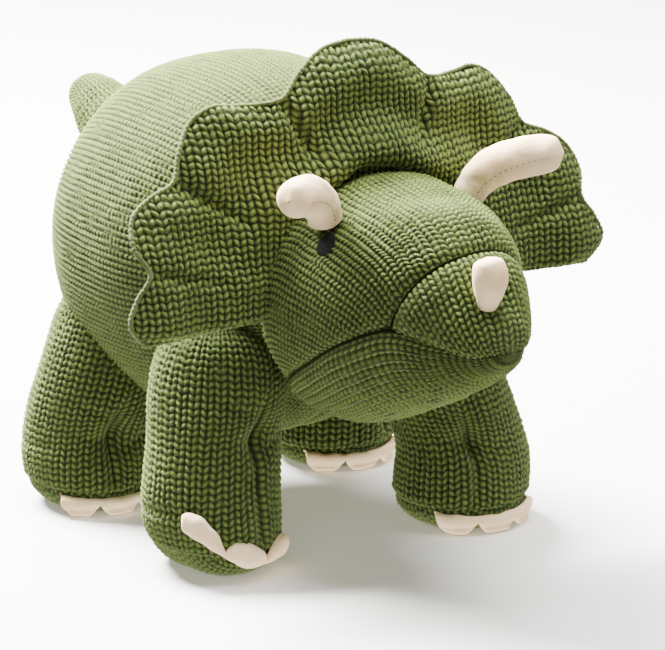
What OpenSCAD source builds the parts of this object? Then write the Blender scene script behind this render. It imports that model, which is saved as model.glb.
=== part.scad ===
// Stuffed knitted three-horned dinosaur, standing on four legs and facing -Y.
// The origin is on the floor, under the middle of the toy; +Z is up; millimetres.
// Each knitted or felt cover and each stuffing filling is a node of its own.

/* [Body] */

// Half of the body's length, chest to rump.
body_half_length = 78; // [76:1:80]
// Radius of the body at its widest.
body_radius = 70; // [66:1:72]
// Height of the body's middle above the floor.
body_height = 101; // [99:1:104]
// Thickness of every knitted cover.
knit = 1.5; // [1.2:0.1:1.8]

/* [Head] */

// Radius of the ball of stuffing that makes the neck.
neck_radius = 31.6; // [29:0.2:33]
// How far the snout cap reaches back from the nose tip, at the mouth.
snout_length = 35; // [31:1:39]
// How much higher the head stands on its left than on its right, as a share of its width.
head_tilt = 0.03; // [0:0.01:0.04]

/* [Frill] */

// Greatest thickness of the padded frill.
frill_thickness = 12; // [9:1:13]
// Size of the frill, inner edge to rim, as a share of its usual size.
frill_size = 1; // [0.9:0.02:1.06]

/* [Horns] */

// Thickest radius of a brow horn.
brow_horn_radius = 7.6; // [7:0.2:8]
// Thickest radius of the nose horn.
nose_horn_radius = 6.2; // [5.6:0.2:6.6]

/* [Legs and tail] */

// Radius of a leg at its middle.
leg_radius = 24; // [22:0.5:24.5]
// Distance between the middles of the left and right feet.
foot_spacing = 108; // [106:1:112]
// Height of a toe scallop.
claw_height = 9; // [7:0.5:10]
// Length of the tail, from its turning centre to its tip.
tail_length = 62.5; // [54:0.5:66]

/* [Node] */

// The one piece to build, or all of them.

/* [Hidden] */

$fn = 0;
$fa = 4;
$fs = 0.6;

SIDES = ["right", "left"];
ENDS = ["front", "rear"];

GREEN = [0.42, 0.52, 0.27];
DARK_GREEN = [0.34, 0.44, 0.22];
PEACH = [0.93, 0.80, 0.70];
BLACK = [0.03, 0.03, 0.03];
WHITE = [0.93, 0.93, 0.92];

// Room between a cover and the stuffing inside it.
fit_gap = 0.3;
// Room between two pieces that turn against each other.
turn_gap = 0.4;
// Depth of the stuffing below the outside of its cover.
fill_depth = knit + fit_gap;
// Half of the width of a seam between two knitted panels.
seam_gap = 0.15;

// Values at uneven stations joined by a smooth curve.
function station(xs, x, i = 0) = i >= len(xs) - 2 || x < xs[i + 1] ? i : station(xs, x, i + 1);
function slope(xs, ys, i) =
    let (a = max(i - 1, 0), b = min(i + 1, len(xs) - 1))
    (ys[b] - ys[a]) / (xs[b] - xs[a]);
function curve(xs, ys, x) =
    let (
        q = min(max(x, xs[0]), xs[len(xs) - 1]),
        i = station(xs, q),
        h = xs[i + 1] - xs[i],
        t = (q - xs[i]) / h
    )
    (2 * t ^ 3 - 3 * t ^ 2 + 1) * ys[i] + (t ^ 3 - 2 * t ^ 2 + t) * h * slope(xs, ys, i)
    + (3 * t ^ 2 - 2 * t ^ 3) * ys[i + 1] + (t ^ 3 - t ^ 2) * h * slope(xs, ys, i + 1);
function rounded(c, n) = sign(c) * abs(c) ^ (2 / n);
function ease(t) = let (q = min(max(t, 0), 1)) q * q * (3 - 2 * q);
function unit(v) = v / norm(v);

// Triangles over a grid of points, wrapping round when the rows are closed.
function grid_faces(rows, cols, start, closed, flip) = [
    for (i = [0 : rows - 2]) for (j = [0 : cols - (closed ? 1 : 2)])
        let (
            a = start + i * cols + j,
            b = start + i * cols + (j + 1) % cols,
            c = b + cols,
            d = a + cols
        )
        each flip ? [[a, b, c], [a, c, d]] : [[a, c, b], [a, d, c]]
];

// A wall between the same edge of two grids that are `span` points apart.
function wall_faces(edge, span, flip) = [
    for (i = [0 : len(edge) - 2])
        let (a = edge[i], b = edge[i + 1])
        each flip
            ? [[a, b + span, b], [a, a + span, b + span]]
            : [[a, b, b + span], [a, b + span, a + span]]
];

// A sheet of even thickness: an outer and an inner grid, and a wall round the edge.
// A closed sheet is a tube, with a wall at each end.
module sheet(outer, inner, closed = false) {
    rows = len(outer);
    cols = len(outer[0]);
    span = rows * cols;
    last = (rows - 1) * cols;
    points = [for (row = outer) each row, for (row = inner) each row];
    around = [for (j = [0 : closed ? cols : cols - 1]) j % cols];
    faces = [
        each grid_faces(rows, cols, 0, closed, false),
        each grid_faces(rows, cols, span, closed, true),
        each wall_faces(around, span, false),
        each wall_faces([for (j = around) last + j], span, true),
        if (!closed) each wall_faces([for (i = [0 : rows - 1]) i * cols], span, true),
        if (!closed) each wall_faces([for (i = [0 : rows - 1]) i * cols + cols - 1], span, false)
    ];
    polyhedron(points, faces);
}

// A solid of closed rings, shut with a fan at each end.
module ring_solid(rings) {
    rows = len(rings);
    cols = len(rings[0]);
    first = sum_points(rings[0]) / cols;
    last = sum_points(rings[rows - 1]) / cols;
    points = [for (ring = rings) each ring, first, last];
    top = rows * cols;
    faces = [
        each grid_faces(rows, cols, 0, true, false),
        for (j = [0 : cols - 1]) [top, j, (j + 1) % cols],
        for (j = [0 : cols - 1]) [top + 1, top - cols + (j + 1) % cols, top - cols + j]
    ];
    polyhedron(points, faces);
}
function sum_points(p, i = 0) = i == len(p) - 1 ? p[i] : p[i] + sum_points(p, i + 1);

// ---------------------------------------------------------------- body

body_center = [0, 21, body_height];
body_squareness = 2.3;
body_steps = 30;
hollow_steps = 15;

// The body is round about its length; `inset` makes the same shape smaller.
// Its front has a round hollow for the neck, with `room` left round the neck.
module body_form(inset, room) {
    length = body_half_length - inset;
    radius = body_radius - inset;
    hollow = neck_radius + room;
    reach = body_center.y - neck_center.y;
    edge = [for (i = [0 : body_steps]) body_edge(180 * i / body_steps - 90, length, radius)];
    outside = [for (p = edge) if (norm([p.x, p.y + reach]) > hollow + 1) p];
    rim = rim_angle(hollow, reach, length, radius);
    profile = [
        for (i = [0 : hollow_steps])
            let (a = 90 - (90 - rim) * i / hollow_steps)
            [hollow * cos(a), hollow * sin(a) - reach],
        each outside
    ];
    translate(body_center) rotate([-90, 0, 0]) rotate_extrude() polygon(profile);
}
function body_edge(a, length, radius) =
    [radius * rounded(cos(a), body_squareness), length * rounded(sin(a), body_squareness)];
// The angle on the neck's hollow at which it meets the outside of the body.
function rim_angle(hollow, reach, length, radius, a = 80) =
    let (p = [hollow * cos(a), hollow * sin(a) - reach])
    a < -80 || (abs(p.x) / radius) ^ body_squareness + (abs(p.y) / length) ^ body_squareness > 1
        ? a : rim_angle(hollow, reach, length, radius, a - 0.5);

// Hollows that the tail and the legs turn in, with `room` left round each.
module body_hollows(room) {
    translate(tail_center) sphere(tail_base + tail_gap + room);
    for (side = [-1, 1]) for (end = [0, 1]) {
        hip = hip_center(side, end);
        translate(hip) sphere(hip_radius + room);
        // The leg's swing below the hip, as seen from the side of the toy.
        reach = leg_radius + max(leg_more) + 2 * room;
        ahead = hip_y[end] - foot_y[end];
        swing = hip_z * tan(leg_swing);
        translate(hip) rotate([90, 0, 90]) mirror([0, 0, side < 0 ? 1 : 0])
            translate([0, 0, foot_x - reach - hip_x]) linear_extrude(height = 2 * reach)
                polygon([
                    [-reach - ahead, 0], [reach - ahead, 0],
                    [reach - ahead + swing, -hip_z], [-reach - ahead - swing, -hip_z]
                ]);
    }
}

module body_cover() {
    color(GREEN) difference() {
        body_form(0, turn_gap);
        body_form(knit, turn_gap - knit);
        body_hollows(turn_gap);
    }
}

module body_stuffing() {
    color(WHITE) difference() {
        body_form(fill_depth, turn_gap + fit_gap);
        body_hollows(turn_gap + fit_gap);
    }
}

// ---------------------------------------------------------------- neck

neck_center = [0, -45, body_height];

module neck_stuffing() {
    color(WHITE) translate(neck_center) sphere(neck_radius);
}

// ---------------------------------------------------------------- head

// Stations along the head, forward of the shoulders: half width, top and underside.
shoulder_y = -43;
head_at = [14, 20, 27.5, 39, 56.5, 74, 87, 97, 103, 107, 109];
head_half_width = [40, 45, 44.5, 43.5, 39.2, 28.3, 20.8, 15, 10.8, 7, 1.6];
head_top = [138, 141, 143.5, 142, 140, 138, 130, 118.8, 110.8, 105, 99.5];
head_under = [66, 60, 55, 57.6, 64.6, 73, 79.3, 86.4, 90, 93, 95.5];
head_squareness = 2.2;
head_back = 16;
head_nose = 109;
head_rows = 22;
head_cols = 44;
// Room between the head's cover and its stuffing, which also takes up their facets.
head_gap = 0.9;
// Rows and columns of facets in each panel of the head's cover.
crown_grid = [12, 28];
snout_grid = [10, 22];
jaw_grid = [20, 22];
// Where the surface starts to draw in towards the nose tip.
nose_start = 67;

// The mouth line climbs from the throat to the cheek and falls to the nose.
mouth_at = [14, 36, 60, 74, 89, 101, 109];
mouth_height = [68, 80.5, 95.5, 101.5, 98.3, 95.2, 97];

// The head is sewn on with a slight lean to one side.
function tilted(p) = [p.x, p.y, p.z + head_tilt * p.x];

// A point of the head: `f` forward, `a` round the section, `inset` under the surface.
function head_point(f, a, inset) =
    let (
        w = curve(head_at, head_half_width, f),
        top = curve(head_at, head_top, f),
        under = curve(head_at, head_under, f),
        h = (top - under) / 2,
        small = max(0.4, 1 - inset / w),
        short = max(0.4, 1 - inset / h)
    )
    tilted([
        w * small * rounded(cos(a), head_squareness),
        shoulder_y - (f - inset * ease((f - nose_start) / (head_nose - nose_start))),
        (top + under) / 2 + h * short * rounded(sin(a), head_squareness)
    ]);

// Where the mouth line lies round the section at `f`.
function mouth_angle(f) =
    let (
        top = curve(head_at, head_top, f),
        under = curve(head_at, head_under, f),
        s = (curve(mouth_at, mouth_height, f) - (top + under) / 2) / ((top - under) / 2)
    )
    asin(sign(s) * min(abs(s), 0.98) ^ (head_squareness / 2));

function head_station(t) = head_back + (head_nose - head_back) * (1 - (1 - t) ^ 2);

// Rows of a panel from one edge to another, above or below the mouth line.
// Each edge is a function that gives the station for a share `q` of the way across.
function panel_rows(from, to, rows, cols, above, inset) = [
    for (i = [0 : rows]) [
        for (j = [0 : cols])
            let (
                t = i / rows,
                q = j / cols,
                f = from(q) + (to(q) - from(q)) * (to(q) == head_nose ? 1 - (1 - t) ^ 2 : t),
                m = mouth_angle(f),
                gap = seam_gap / max(curve(head_at, head_half_width, f), 4) * 60,
                first = above ? m + gap : 180 - m + gap,
                last = above ? 180 - m - gap : 360 + m - gap
            )
            head_point(f, first + (last - first) * q, inset)
    ]
];

// The snout cap's seam leans forward towards the top of the head.
seam_lean = 14;
function snout_seam(q) = head_nose - snout_length + seam_lean * sin(90 * (1 - abs(2 * q - 1)));

// Hollows that the neck and the horns turn in.
module head_hollows() {
    translate(neck_center) sphere(neck_radius + turn_gap);
    translate(nose_horn_path[0]) sphere(nose_horn_base + turn_gap);
    for (side = [-1, 1]) translate(brow_horn_path(side)[0]) sphere(brow_horn_base + turn_gap);
}

module head_panel(from, to, grid, above) {
    difference() {
        sheet(
            panel_rows(from, to, grid[0], grid[1], above, 0),
            panel_rows(from, to, grid[0], grid[1], above, knit)
        );
        head_hollows();
    }
}

module head_crown_cover() {
    color(GREEN)
        head_panel(function (q) head_back, function (q) snout_seam(q) - seam_gap, crown_grid, true);
}

module head_snout_cover() {
    color(GREEN)
        head_panel(function (q) snout_seam(q) + seam_gap, function (q) head_nose, snout_grid, true);
}

module head_jaw_cover() {
    color(GREEN) head_panel(function (q) head_back, function (q) head_nose, jaw_grid, false);
}

module head_stuffing() {
    depth = knit + head_gap;
    rings = [
        for (i = [0 : head_rows])
            let (f = head_station(i / head_rows))
            [for (j = [0 : head_cols - 1]) head_point(f, 360 * j / head_cols, depth)]
    ];
    color(WHITE) difference() {
        ring_solid(rings);
        head_hollows();
    }
}

// ---------------------------------------------------------------- eyes

eye_forward = 44.8;
eye_angle = 36;
eye_width = 7;
eye_height = 8.6;
eye_thickness = 0.9;
// Room between the head's cover and the back of the eye, so that the curve clears it.
eye_lift = 0.35;

// A flat oval of black stitches on the side of the head.
module eye(side) {
    angle = side > 0 ? eye_angle : 180 - eye_angle;
    at = head_point(eye_forward, angle, 0);
    along = head_point(eye_forward + 1, angle, 0) - at;
    across = head_point(eye_forward, angle + 1, 0) - at;
    normal = unit(cross(across, along));
    out = normal.x * side > 0 ? normal : -normal;
    place = at + out * eye_lift;
    color(BLACK) translate(place)
        rotate([0, acos(out.z), atan2(out.y, out.x)])
        scale([eye_height / eye_width, 1, 1]) cylinder(d = eye_width, h = eye_thickness);
}

// ---------------------------------------------------------------- frill

// The frill's inner edge is an arc about this height, clear of the head all round.
frill_center_z = 98;
frill_inner_radius = 50.5;
frill_root = 21;
frill_cols = 84;
frill_rows = 7;
frill_end = 158;
// How thin the frill gets at its edges.
frill_lip = 0.35;

// The rim from the middle of the top lobe down to the bottom corner: distance along it,
// then how far out, how far forward and how high it stands.
rim_at = [0, 12, 24, 36, 50, 59, 68, 80, 90, 101, 110.5, 119.5, 128.5, 138, 147, 158];
rim_out = [0, 12, 22.5, 31, 45.5, 54.5, 63, 69.7, 73.5, 83.7, 91.4, 93.8, 90.8, 96.3, 99.6, 93.3];
rim_forward = [4.2, 5.5, 7.5, 9.5, 4.5, 2, 1.4, 5, 7.6, 8, 9.9, 15.5, 21.3, 21.9, 22.6, 21.5];
rim_height = [
    187.8, 186, 179, 171.5, 170.4, 170.8, 166.6, 157, 148, 143.4, 137.7, 129, 120.4, 112.4, 103.9, 95.5
];
dip_at = [36, 90, 128.5];
dip_width = 6;

// How strongly the frill is gathered at distance `t` along the rim, 1 in the dips.
function gather(t) = max([for (at = dip_at) exp(-(sqrt((t - at) ^ 2 + 2) - 1.4) / dip_width)]);

// How much of its thickness the frill loses at the rim of a dip.
dip_loss = 0.45;
// The frill is fullest at this share of the way from inner edge to rim.
full_at = 0.4;
// How far from there it runs out, and how squarely.
full_reach = 0.65;
full_squareness = 2.4;

// Half of the padding's thickness, from inner edge to rim.
function frill_puff(s, t) =
    frill_thickness / 2 * (1 - dip_loss * gather(t) * s)
    * sqrt(max(0, 1 - (abs(s - full_at) / full_reach) ^ full_squareness));

// A point of the frill: `t` along the rim, `s` from inner edge to rim, `side` +1 front, -1 back.
function frill_point(t, s, side, inset) =
    let (
        b = abs(t),
        out = curve(rim_at, rim_out, b),
        up = curve(rim_at, rim_height, b) - frill_center_z,
        a = atan2(out, up),
        reach = norm([out, up]) * frill_size,
        r = frill_inner_radius + (reach - frill_inner_radius) * s,
        f = frill_root + (curve(rim_at, rim_forward, b) - frill_root) * s,
        puff = max(frill_puff(s, b) - inset, frill_lip)
    )
    tilted([sign(t) * r * sin(a), shoulder_y - f - side * puff, frill_center_z + r * cos(a)]);

function frill_sheet_rows(side, inset, from, to, trim) = [
    for (i = [0 : frill_rows]) [
        for (j = [0 : frill_cols])
            let (
                t = (frill_end - trim) * (2 * j / frill_cols - 1),
                s = from + (to - from) * i / frill_rows
            )
            frill_point(t, s, side, inset)
    ]
];

module frill_front_cover() {
    color(GREEN) sheet(frill_sheet_rows(1, 0, 0, 1, 0), frill_sheet_rows(1, knit, 0, 1, 0));
}

module frill_back_cover() {
    color(DARK_GREEN) sheet(frill_sheet_rows(-1, knit, 0, 1, 0), frill_sheet_rows(-1, 0, 0, 1, 0));
}

// The padding stops short of the edges: this share at the inner edge and the rim,
// and this many millimetres at the bottom corners.
padding_edge = 0.04;
padding_trim = 1.2;

module frill_padding() {
    color(WHITE) sheet(
        frill_sheet_rows(1, fill_depth, padding_edge, 1 - padding_edge, padding_trim),
        frill_sheet_rows(-1, fill_depth, padding_edge, 1 - padding_edge, padding_trim)
    );
}

// ---------------------------------------------------------------- horns

// Radius of the round hollow in the head that each horn turns in.
brow_horn_base = 7.6;
nose_horn_base = 8.2;
function brow_horn_path(side) = [
    tilted([31 * side, -82, 131.5]),
    tilted([34.5 * side, -83, 143]),
    tilted([44 * side, -91, 147.5]),
    tilted([57 * side, -101, 147.5])
];
nose_horn_path = [[-3, -142.8, 113], [-3.2, -145.5, 118], [-3.6, -146, 123], [-4, -144.5, 130]];
horn_rows = 14;
horn_cols = 16;
// Rings crowd towards the tip by this power.
tip_power = 1.7;
// Thickness along a horn, from the hidden base ball to the round tip.
brow_horn_at = [0, 0.12, 0.3, 0.6, 0.85, 0.95, 1];
brow_horn_share = [0.7, 0.8, 0.95, 1, 0.88, 0.62, 0.08];
nose_horn_at = [0, 0.15, 0.35, 0.6, 0.85, 0.95, 1];
nose_horn_share = [0.66, 0.68, 0.84, 1, 0.84, 0.55, 0.08];

function bezier(p, t) =
    (1 - t) ^ 3 * p[0] + 3 * t * (1 - t) ^ 2 * p[1] + 3 * t ^ 2 * (1 - t) * p[2] + t ^ 3 * p[3];
function bezier_way(p, t) =
    unit((1 - t) ^ 2 * (p[1] - p[0]) + 2 * t * (1 - t) * (p[2] - p[1]) + t ^ 2 * (p[3] - p[2]));

// An inner surface stops short of the tip in this proportion.
horn_run = 60;

// Rings along a horn from its base ring to its tip.
function horn_rings(path, at, share, radius, inset) = [
    for (i = [0 : horn_rows])
        let (
            t = (1 - (1 - i / horn_rows) ^ tip_power) * (1 - inset / horn_run),
            r = max(radius * curve(at, share, t) - inset, 0.3)
        )
        horn_ring(path, t, 0, r)
];
function horn_ring(path, t, back, r) =
    let (
        way = bezier_way(path, t),
        center = bezier(path, t) - back * way,
        x = unit(cross([0, 1, 0.2], way)),
        y = cross(way, x)
    )
    [
        for (j = [0 : horn_cols - 1])
            let (a = 360 * j / horn_cols)
            center + r * (cos(a) * x + sin(a) * y)
    ];

// Rings of the round end that the horn turns on, hidden inside the head.
function horn_ball(path, r) = [
    for (a = [75 : -15 : 15]) horn_ring(path, 0, r * sin(a), r * cos(a))
];

module horn_cover(path, at, share, radius) {
    color(PEACH) sheet(
        horn_rings(path, at, share, radius, 0),
        horn_rings(path, at, share, radius, knit),
        true
    );
}

module horn_stuffing(path, at, share, radius) {
    base = radius * share[0] - fill_depth;
    color(WHITE) ring_solid([
        each horn_ball(path, base),
        each horn_rings(path, at, share, radius, fill_depth)
    ]);
}

// ---------------------------------------------------------------- legs

hip_radius = 26;
hip_x = 49;
hip_z = 60;
hip_y = [-33, 47];
foot_x = foot_spacing / 2;
foot_y = [-42, 50];
leg_swing = 15;
// Leg radius by height, less the radius at the middle of the leg.
leg_at = [0, 3, 8, 16, 30, 48, 60];
leg_more = [-7, -2.5, 0.6, 1.4, 0, -0.6, -1];
leg_steps = 14;
// Rings of a leg crowd towards the foot by this power.
foot_power = 1.4;
sole_top = 9;
// How far below the hip the leg's round top has its middle.
leg_crown = 3;

function hip_center(side, end) = [side * hip_x, hip_y[end], hip_z];
function leg_width(z) = leg_radius + curve(leg_at, leg_more, z);

// The outline of a leg between two heights, `inset` under the surface.
function leg_outline(from, to, inset) = [
    [0, max(from, inset)],
    for (i = [0 : leg_steps])
        let (z = from + (to - from) * (i / leg_steps) ^ foot_power)
        [leg_width(z) - inset, max(z, inset)],
    [0, to]
];

module leg_form(end, from, inset) {
    translate([foot_x, foot_y[end], 0])
        rotate_extrude() polygon(leg_outline(from, hip_z, inset));
    translate([foot_x, foot_y[end], hip_z - leg_crown]) sphere(leg_width(hip_z) - inset);
    translate([hip_x, hip_y[end], hip_z]) sphere(hip_radius - inset);
}

module on_side(side) {
    mirror([side < 0 ? 1 : 0, 0, 0]) children();
}

module leg_cover(end, side) {
    color(GREEN) on_side(side) difference() {
        leg_form(end, sole_top + seam_gap, 0);
        leg_form(end, 0, knit);
    }
}

module leg_stuffing(end, side) {
    color(WHITE) on_side(side) leg_form(end, 0, fill_depth);
}

module leg_sole(end, side) {
    color(DARK_GREEN) on_side(side) translate([foot_x, foot_y[end], 0]) difference() {
        rotate_extrude() polygon(leg_outline(0, sole_top - seam_gap, 0));
        rotate_extrude() polygon(leg_outline(0, sole_top + 1, knit));
    }
}

claw_turns = [-36, 0, 36];
claw_thickness = 2.2;
claw_low = 4;
claw_width = 16.8;
claw_steps = 8;
// Height of a scallop's middle above the strip's lower edge.
claw_rise = 2;
// How far from the foot's middle the cut that shapes a scallop starts and ends.
claw_cut = [10, 40];

// A felt strip with three round scallops, over the front of the sole seam.
module leg_claws(end, side) {
    heights = [
        for (i = [0 : claw_steps]) claw_low + (claw_height + claw_rise + 1) * i / claw_steps
    ];
    band = [
        for (z = heights) [leg_width(z) + fit_gap, z],
        for (i = [claw_steps : -1 : 0]) [leg_width(heights[i]) + fit_gap + claw_thickness, heights[i]]
    ];
    color(PEACH) on_side(side) translate([foot_x, foot_y[end], 0]) intersection() {
        rotate_extrude() polygon(band);
        for (turn = claw_turns)
            rotate([0, 0, turn - 90]) translate([claw_cut[0], 0, claw_low + claw_rise])
                rotate([90, 0, 90]) linear_extrude(height = claw_cut[1] - claw_cut[0])
                    scale([1, 2 * claw_height / claw_width]) circle(d = claw_width);
    }
}

// ---------------------------------------------------------------- tail

tail_base = 19;
// Extra room for the tail's cone where it leaves the body.
tail_gap = 0.9;
tail_tilt = 22;
tail_center = [0, 94, 114];
tail_at = [0, 0.3, 0.6, 0.82, 0.94, 1];
tail_share = [0.96, 0.9, 0.73, 0.56, 0.36, 0];
tail_steps = 20;

module tail_form(inset) {
    length = tail_length - inset;
    profile = [
        [0, 0],
        for (i = [0 : tail_steps])
            let (t = 1 - (1 - i / tail_steps) ^ 1.6)
            [max((tail_base - inset) * curve(tail_at, tail_share, t), 0), length * t]
    ];
    translate(tail_center) {
        rotate([tail_tilt - 90, 0, 0]) rotate_extrude() polygon(profile);
        sphere(tail_base - inset);
    }
}

module tail_cover() {
    color(GREEN) difference() {
        tail_form(0);
        tail_form(knit);
    }
}

module tail_stuffing() {
    color(WHITE) tail_form(fill_depth);
}

// ---------------------------------------------------------------- pieces

body_cover();
body_stuffing();
neck_stuffing();
head_crown_cover();
head_snout_cover();
head_jaw_cover();
head_stuffing();
frill_front_cover();
frill_back_cover();
frill_padding();
eye(-1);  // eye_right
eye(1);  // eye_left
horn_cover(nose_horn_path, nose_horn_at, nose_horn_share, nose_horn_radius);  // nose_horn_cover
horn_stuffing(nose_horn_path, nose_horn_at, nose_horn_share, nose_horn_radius);  // nose_horn_stuffing
tail_cover();
tail_stuffing();
for (s = [0, 1]) {
    side = s == 0 ? -1 : 1;
    horn_cover(brow_horn_path(side), brow_horn_at, brow_horn_share, brow_horn_radius);
    horn_stuffing(brow_horn_path(side), brow_horn_at, brow_horn_share, brow_horn_radius);
    for (end = [0, 1]) {
        leg = str("leg_", ENDS[end], "_", SIDES[s]);
        leg_cover(end, side);
        leg_stuffing(end, side);
        leg_sole(end, side);
        leg_claws(end, side);
    }
}
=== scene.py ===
import math

import bpy
import numpy as np
from mathutils import Matrix, Vector


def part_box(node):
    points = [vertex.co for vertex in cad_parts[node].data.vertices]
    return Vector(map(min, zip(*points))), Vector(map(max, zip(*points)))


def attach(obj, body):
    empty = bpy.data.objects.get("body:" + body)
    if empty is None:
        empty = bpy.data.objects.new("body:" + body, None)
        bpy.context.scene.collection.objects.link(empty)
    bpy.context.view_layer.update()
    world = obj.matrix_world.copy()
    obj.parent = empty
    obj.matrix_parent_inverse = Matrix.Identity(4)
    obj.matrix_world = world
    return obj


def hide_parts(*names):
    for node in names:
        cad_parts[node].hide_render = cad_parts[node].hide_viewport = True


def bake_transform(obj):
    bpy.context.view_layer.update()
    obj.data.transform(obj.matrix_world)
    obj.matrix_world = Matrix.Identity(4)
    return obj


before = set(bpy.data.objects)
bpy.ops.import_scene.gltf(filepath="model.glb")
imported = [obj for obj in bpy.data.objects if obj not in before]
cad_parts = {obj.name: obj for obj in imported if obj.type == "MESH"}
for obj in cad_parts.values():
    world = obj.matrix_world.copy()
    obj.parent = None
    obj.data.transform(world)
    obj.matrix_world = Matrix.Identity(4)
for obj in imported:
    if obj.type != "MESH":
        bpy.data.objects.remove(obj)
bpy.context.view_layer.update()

# ------------------------------------------------------------------ sizes
# The frame is in metres; every length below is in millimetres until a mesh is made.
MM = 0.001
WALE = 4.7          # width of one knitted V
COURSE = 2.45       # height of one knitted V
LEAN = 0.55         # how far a V's arms climb, in courses
ROPE_POWER = 0.75   # how full a strand is across its width
BEAD_POWER = 0.8    # how full a stitch is along its strand
VALLEY = 0.12       # height of a strand between two stitches
LEVEL = 0.55        # the relief that lies level with the cloth's own surface
COARSE = 1.0
PITCH = 0.62 * COARSE


def low(node):
    """A CAD node's lowest corner, in millimetres."""
    return np.array(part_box(node)[0]) / MM


def high(node):
    """A CAD node's highest corner, in millimetres."""
    return np.array(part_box(node)[1]) / MM


def middle(node):
    return (low(node) + high(node)) / 2


# ------------------------------------------------------------------ number helpers
def curve(xs, ys, x):
    """Values at uneven stations joined by a smooth curve."""
    xs, ys = np.asarray(xs, float), np.asarray(ys, float)
    slopes = np.empty(len(xs))
    slopes[1:-1] = (ys[2:] - ys[:-2]) / (xs[2:] - xs[:-2])
    slopes[0] = (ys[1] - ys[0]) / (xs[1] - xs[0])
    slopes[-1] = (ys[-1] - ys[-2]) / (xs[-1] - xs[-2])
    x = np.clip(x, xs[0], xs[-1])
    i = np.clip(np.searchsorted(xs, x, side="right") - 1, 0, len(xs) - 2)
    h = xs[i + 1] - xs[i]
    t = (x - xs[i]) / h
    return (
        (2 * t**3 - 3 * t**2 + 1) * ys[i]
        + (t**3 - 2 * t**2 + t) * h * slopes[i]
        + (3 * t**2 - 2 * t**3) * ys[i + 1]
        + (t**3 - t**2) * h * slopes[i + 1]
    )


def rounded(c, n):
    """A sine or cosine reshaped for an oval of power n: 2 is round, and more is squarer."""
    return np.sign(c) * np.abs(c) ** (2 / n)


def ease(t):
    """A smooth step from 0 to 1."""
    t = np.clip(t, 0, 1)
    return t * t * (3 - 2 * t)


def hump(x, width):
    """A smooth bump, 1 where x is 0."""
    return np.exp(-((x / width) ** 2))


def lumps(p, size, seed):
    """Smooth unevenness between about -1 and 1, with features of about `size`."""
    rng = np.random.default_rng(seed)
    total = np.zeros(p.shape[:-1])
    for _ in range(8):
        way = rng.normal(size=3)
        way /= np.linalg.norm(way)
        pace = 2 * math.pi / size * rng.uniform(0.6, 1.5)
        total += np.sin(p @ way * pace + rng.uniform(0, 2 * math.pi))
    return total / 3.4


def distances(points):
    """How far along a line each of its points lies."""
    return np.concatenate([[0], np.cumsum(np.linalg.norm(np.diff(points, axis=0), axis=1))])


def along(points, count):
    """The same line with `count` points at even distances."""
    points = np.asarray(points, float)
    run = distances(points)
    even = np.linspace(0, run[-1], count)
    return np.stack([np.interp(even, run, points[:, k]) for k in range(points.shape[1])], -1)


def length_of(points):
    return float(np.linalg.norm(np.diff(np.asarray(points, float), axis=0), axis=1).sum())


def count_for(length, pitch=PITCH):
    return max(6, int(round(length / pitch)) + 1)


# ------------------------------------------------------------------ meshes
UNEVEN_WALES = 0.07     # how far the stitches wander sideways, in wales
UNEVEN_COURSES = 0.10   # and up and down, in courses
UNEVEN_YARN = 0.22      # how much the yarn's thickness varies


def stitches(su, sv):
    """Relief of stockinette, 0 in the holes and 1 on top of the yarn."""
    d = np.abs((su % 1) - 0.5) * 2
    p = (sv - LEAN * d) % 1
    rope = np.sin(math.pi * np.clip(d, 0, 1)) ** ROPE_POWER
    bead = np.sin(math.pi * p) ** BEAD_POWER
    return rope * (VALLEY + (1 - VALLEY) * bead)


def grid_normals(p, closed):
    """The unit normal at each point of a grid."""
    du = np.gradient(p, axis=0)
    if closed:
        core = p[:, :-1]
        dv = (np.roll(core, -1, 1) - np.roll(core, 1, 1)) / 2
        dv = np.concatenate([dv, dv[:, :1]], 1)
    else:
        dv = np.gradient(p, axis=1)
    n = np.cross(du, dv)
    return n / np.maximum(np.linalg.norm(n, axis=-1, keepdims=True), 1e-9)


def grid_mesh(name, p, uv, relief, closed, flip):
    """A mesh of quads over a grid of points; a closed grid repeats its first column last."""
    rows, cols = p.shape[:2]
    used = cols - 1 if closed else cols
    verts = (p[:, :used] * MM).reshape(-1, 3)
    i, j = np.meshgrid(np.arange(rows - 1), np.arange(cols - 1), indexing="ij")
    corners = [(i, j), (i, j + 1), (i + 1, j + 1), (i + 1, j)]
    if flip:
        corners.reverse()
    loops = np.stack([a * used + b % used for a, b in corners], -1).reshape(-1)
    places = np.stack([uv[a, b] for a, b in corners], -2).reshape(-1, 2)
    quads = loops.size // 4
    mesh = bpy.data.meshes.new(name)
    mesh.vertices.add(len(verts))
    mesh.vertices.foreach_set("co", verts.astype(np.float32).ravel())
    mesh.loops.add(loops.size)
    mesh.loops.foreach_set("vertex_index", loops.astype(np.int32))
    mesh.polygons.add(quads)
    mesh.polygons.foreach_set("loop_start", np.arange(0, loops.size, 4, dtype=np.int32))
    mesh.polygons.foreach_set("use_smooth", np.ones(quads, bool))
    layer = mesh.uv_layers.new(name="knit")
    layer.data.foreach_set("uv", places.astype(np.float32).ravel())
    depth = mesh.attributes.new("relief", "FLOAT", "POINT")
    depth.data.foreach_set("value", relief[:, :used].astype(np.float32).ravel())
    mesh.update(calc_edges=True)
    mesh.validate()
    obj = bpy.data.objects.new(name, mesh)
    bpy.context.scene.collection.objects.link(obj)
    return obj


def facing(p, normals, outward):
    """Whether the grid's normals have to be turned over to point outwards."""
    if outward is None:
        outward = p - p.reshape(-1, 3).mean(0)
    return float((normals * outward).sum()) < 0


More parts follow.
